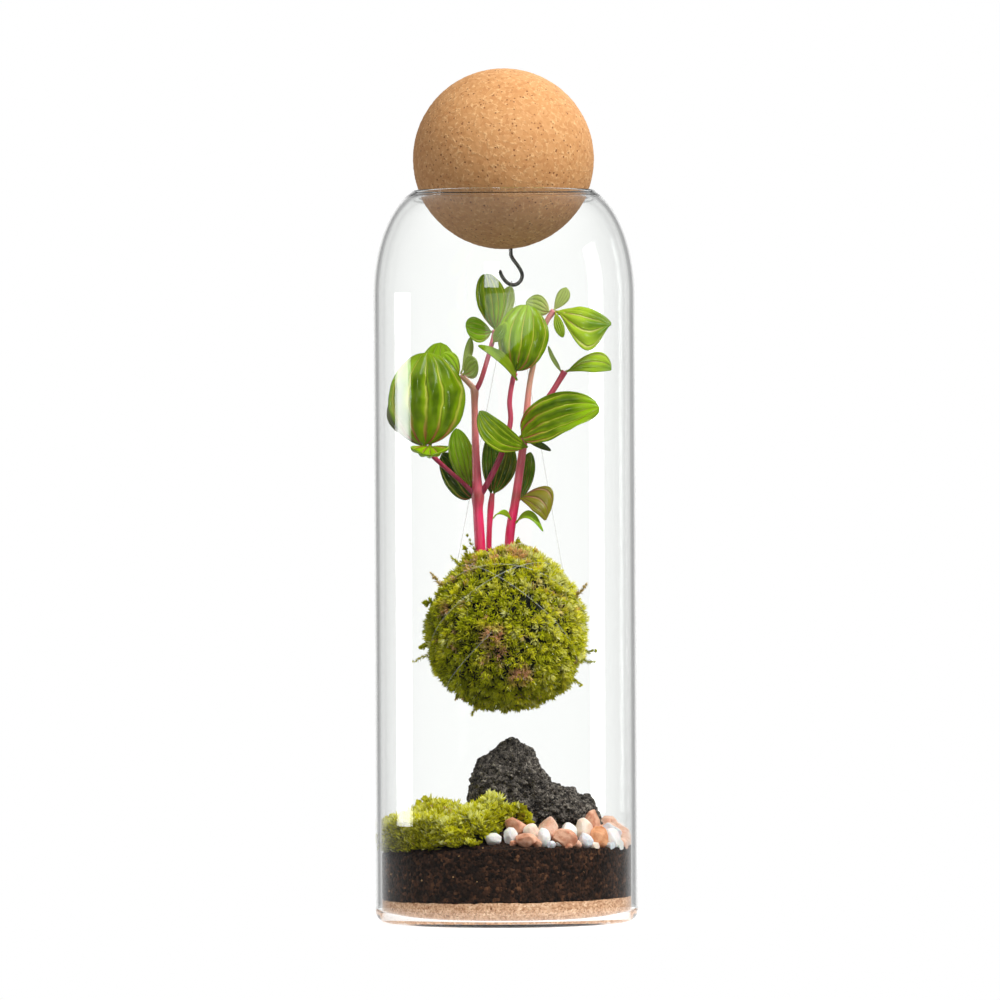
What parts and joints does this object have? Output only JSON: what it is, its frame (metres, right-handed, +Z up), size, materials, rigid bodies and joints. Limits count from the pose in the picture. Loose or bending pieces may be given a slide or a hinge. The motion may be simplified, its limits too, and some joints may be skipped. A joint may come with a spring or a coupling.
{
  "type": "glass plant terrarium",
  "caption": "Tall closed glass jar with a cork ball stopper, a leafy plant in a hanging moss ball, and sand, soil, moss, lava rock and pebbles on its floor.",
  "frame": {"origin": "middle of the jar's flat underside", "axes": "+Z up along the jar, front towards -Y, +X to the right of the front"},
  "size_m": [0.0994, 0.1, 0.3247],
  "materials": {
    "jar_glass": "clear blown glass",
    "cork": "agglomerated cork, sanded",
    "hook_steel": "darkened steel wire",
    "nylon_thread": "clear nylon thread",
    "ball_moss": "living moss",
    "root_soil": "fibrous soil",
    "pink_stem": "pink plant stems",
    "leaf": "glossy mature leaf",
    "young_leaf": "pale young leaf",
    "sand": "beige sand",
    "potting_soil": "dark potting soil",
    "lava_stone": "vesicular lava stone",
    "cushion_moss": "living cushion moss",
    "white_pebble": "tumbled white stone",
    "cream_pebble": "tumbled cream stone",
    "terracotta_pebble": "tumbled terracotta stone",
    "peach_pebble": "tumbled peach stone"
  },
  "bodies": {
    "root": {"glass_jar": "jar_glass", "cork_ball": "cork", "screw_hook": "hook_steel", "hanging_thread": "nylon_thread", "winding_thread": "nylon_thread", "moss_ball": "ball_moss", "root_ball": "root_soil", "stem_left": "pink_stem", "stem_middle": "pink_stem", "stem_right": "pink_stem", "leaf_big_left": "leaf", "leaf_far_left": "leaf", "leaf_left_behind": "leaf", "leaf_left_below": "leaf", "leaf_tip_upright": "young_leaf", "leaf_tip_right": "young_leaf", "leaf_tip_left": "young_leaf", "leaf_top_left": "leaf", "leaf_lime": "young_leaf", "leaf_top_pale": "young_leaf", "leaf_small_light": "young_leaf", "leaf_big_centre": "leaf", "leaf_edge_on": "leaf", "leaf_right_rear": "leaf", "leaf_right_upright": "leaf", "leaf_right_folded": "leaf", "leaf_right_drooping": "leaf", "leaf_sliver": "leaf", "leaf_right_small": "leaf", "leaf_big_right": "leaf", "leaf_curled": "leaf", "leaf_narrow_right": "leaf", "leaf_dark_low": "leaf", "leaf_left_inner": "young_leaf", "leaf_centre_low": "leaf", "leaf_centre_behind": "leaf", "leaf_right_inner": "leaf", "leaf_olive": "leaf", "leaf_lime_left": "young_leaf", "leaf_lime_right": "young_leaf", "sand_layer": "sand", "soil_layer": "potting_soil", "lava_rock": "lava_stone", "ground_moss": "cushion_moss", "pebble_white_flat": "white_pebble", "pebble_white_moss": "white_pebble", "pebble_terracotta_front": "terracotta_pebble", "pebble_white_upright": "white_pebble", "pebble_terracotta_wide": "terracotta_pebble", "pebble_grey_white": "white_pebble", "pebble_orange": "terracotta_pebble", "pebble_white_right": "white_pebble", "pebble_terracotta_behind": "terracotta_pebble", "pebble_cream_small": "cream_pebble", "pebble_terracotta_round": "terracotta_pebble", "pebble_white_middle": "white_pebble", "pebble_cream_large": "cream_pebble", "pebble_terracotta_tall": "terracotta_pebble", "pebble_white_blue": "white_pebble", "pebbles_rear": "peach_pebble"}
  },
  "joints": []
}
